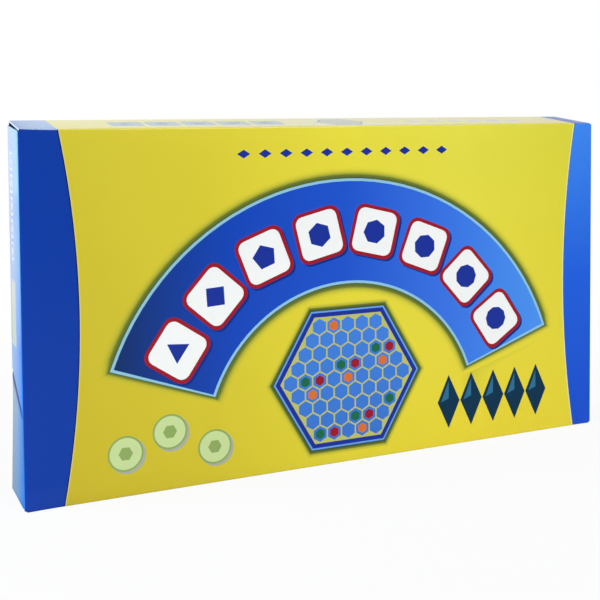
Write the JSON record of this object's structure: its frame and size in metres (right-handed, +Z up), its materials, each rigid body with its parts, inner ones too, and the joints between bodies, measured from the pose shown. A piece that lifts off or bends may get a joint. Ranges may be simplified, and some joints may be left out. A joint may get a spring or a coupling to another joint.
{
  "type": "word board game in a flat card box",
  "caption": "Flat card box with a lift-off lid over a tray that holds a folding board, letter tiles, slotted tile racks, a rules leaflet and a formed insert.",
  "frame": {"origin": "middle of the face that the box stands on", "axes": "+X along the box, +Y from the lid's front to the tray's back, +Z up"},
  "size_m": [0.3726, 0.041, 0.2074],
  "materials": {
    "printed_card": "glossy print",
    "plain_card": "satin",
    "insert_plastic": "matte",
    "leaflet_paper": "uncoated",
    "board_card": "satin print",
    "hinge_cloth": "book cloth",
    "rack_plastic": "satin",
    "tile_plastic": "satin"
  },
  "bodies": {
    "tray": {"tray": "plain_card"},
    "lid": {"lid": "printed_card"},
    "insert": {"insert": "insert_plastic"},
    "tiles_back": {"tiles_back_row_1": "tile_plastic", "tiles_back_row_2": "tile_plastic", "tiles_back_row_3": "tile_plastic", "tiles_back_row_4": "tile_plastic", "tiles_back_row_5": "tile_plastic"},
    "tiles_front": {"tiles_front_row_1": "tile_plastic", "tiles_front_row_2": "tile_plastic", "tiles_front_row_3": "tile_plastic", "tiles_front_row_4": "tile_plastic", "tiles_front_row_5": "tile_plastic"},
    "leaflet": {"rules_leaflet": "leaflet_paper"},
    "board_back": {"board_back_half": "board_card", "hinge_cloth_back_leaf": "hinge_cloth"},
    "board_front": {"board_front_half": "board_card", "hinge_cloth_front_leaf": "hinge_cloth"},
    "rack_1": {"rack_1": "rack_plastic"},
    "rack_2": {"rack_2": "rack_plastic"},
    "rack_3": {"rack_3": "rack_plastic"},
    "rack_4": {"rack_4": "rack_plastic"}
  },
  "joints": [
    {"name": "lid_lift", "type": "slide", "parent": "tray", "child": "lid", "axis": [0, -1, 0], "range_m": [0, 0.78]},
    {"name": "insert_lift", "type": "slide", "parent": "tray", "child": "insert", "axis": [0, -1, 0], "range_m": [0, 0.0625]},
    {"name": "tiles_back_lift", "type": "slide", "parent": "tray", "child": "tiles_back", "axis": [0, -1, 0], "range_m": [0, 0.0937]},
    {"name": "tiles_front_lift", "type": "slide", "parent": "tray", "child": "tiles_front", "axis": [0, -1, 0], "range_m": [0, 0.1093]},
    {"name": "leaflet_lift", "type": "slide", "parent": "tray", "child": "leaflet", "axis": [0, -1, 0], "range_m": [0, 0.1327]},
    {"name": "board_lift", "type": "slide", "parent": "tray", "child": "board_back", "axis": [0, -1, 0], "range_m": [0, 0.1717]},
    {"name": "rack_1_lift", "type": "slide", "parent": "tray", "child": "rack_1", "axis": [0, -1, 0], "range_m": [0, 0.0937]},
    {"name": "rack_2_lift", "type": "slide", "parent": "tray", "child": "rack_2", "axis": [0, -1, 0], "range_m": [0, 0.0937]},
    {"name": "rack_3_lift", "type": "slide", "parent": "tray", "child": "rack_3", "axis": [0, -1, 0], "range_m": [0, 0.0937]},
    {"name": "rack_4_lift", "type": "slide", "parent": "tray", "child": "rack_4", "axis": [0, -1, 0], "range_m": [0, 0.0937]},
    {"name": "board_unfold", "type": "hinge", "parent": "board_back", "child": "board_front", "pos_m": [0, -0.0169, 0.17755], "axis": [-1, 0, 0], "range_deg": [0, 180]}
  ],
  "couplings": [
    {"joint": "insert_lift", "follows": "lid_lift", "ratio": 0.08},
    {"joint": "tiles_back_lift", "follows": "lid_lift", "ratio": 0.12},
    {"joint": "tiles_front_lift", "follows": "lid_lift", "ratio": 0.14},
    {"joint": "leaflet_lift", "follows": "lid_lift", "ratio": 0.17},
    {"joint": "board_lift", "follows": "lid_lift", "ratio": 0.22},
    {"joint": "rack_1_lift", "follows": "lid_lift", "ratio": 0.12},
    {"joint": "rack_2_lift", "follows": "lid_lift", "ratio": 0.12},
    {"joint": "rack_3_lift", "follows": "lid_lift", "ratio": 0.12},
    {"joint": "rack_4_lift", "follows": "lid_lift", "ratio": 0.12},
    {"joint": "board_unfold", "follows": "lid_lift", "rad_per_m": 4.027}
  ]
}
